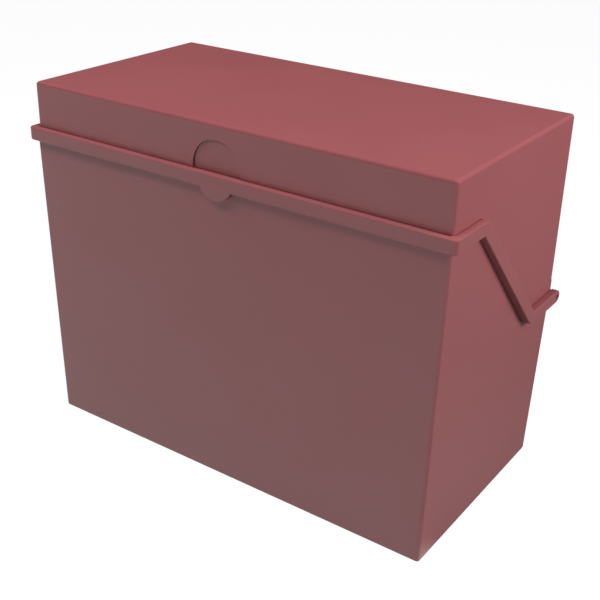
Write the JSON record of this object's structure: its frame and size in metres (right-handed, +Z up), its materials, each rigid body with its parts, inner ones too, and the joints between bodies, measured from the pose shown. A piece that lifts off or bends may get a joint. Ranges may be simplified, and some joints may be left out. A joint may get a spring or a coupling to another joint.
{
  "type": "flip-top storage box",
  "caption": "Upright moulded-plastic storage box for art supplies: tapered tub with a stepped rim and a deep flip-back lid on headed hinge pins.",
  "frame": {"origin": "on the ground, under the middle of the box's overall width and depth", "axes": "+Z up; the front with the thumb hollow and the tab faces -Y; the hinge is at +Y; the width runs along X"},
  "size_m": [0.3816, 0.199, 0.2947],
  "materials": {
    "tub_plastic": "dusty red moulded plastic, satin",
    "lid_plastic": "dusty red moulded plastic, satin",
    "pin_steel": "plain steel pin"
  },
  "bodies": {
    "tub": {"tub": "tub_plastic", "hinge_pin_left": "pin_steel", "hinge_pin_right": "pin_steel"},
    "lid": {"lid": "lid_plastic"}
  },
  "joints": [
    {"name": "lid_hinge", "type": "hinge", "parent": "tub", "child": "lid", "pos_m": [0, 0.0941, 0.1462], "axis": [-1, 0, 0], "range_deg": [0, 110]}
  ]
}
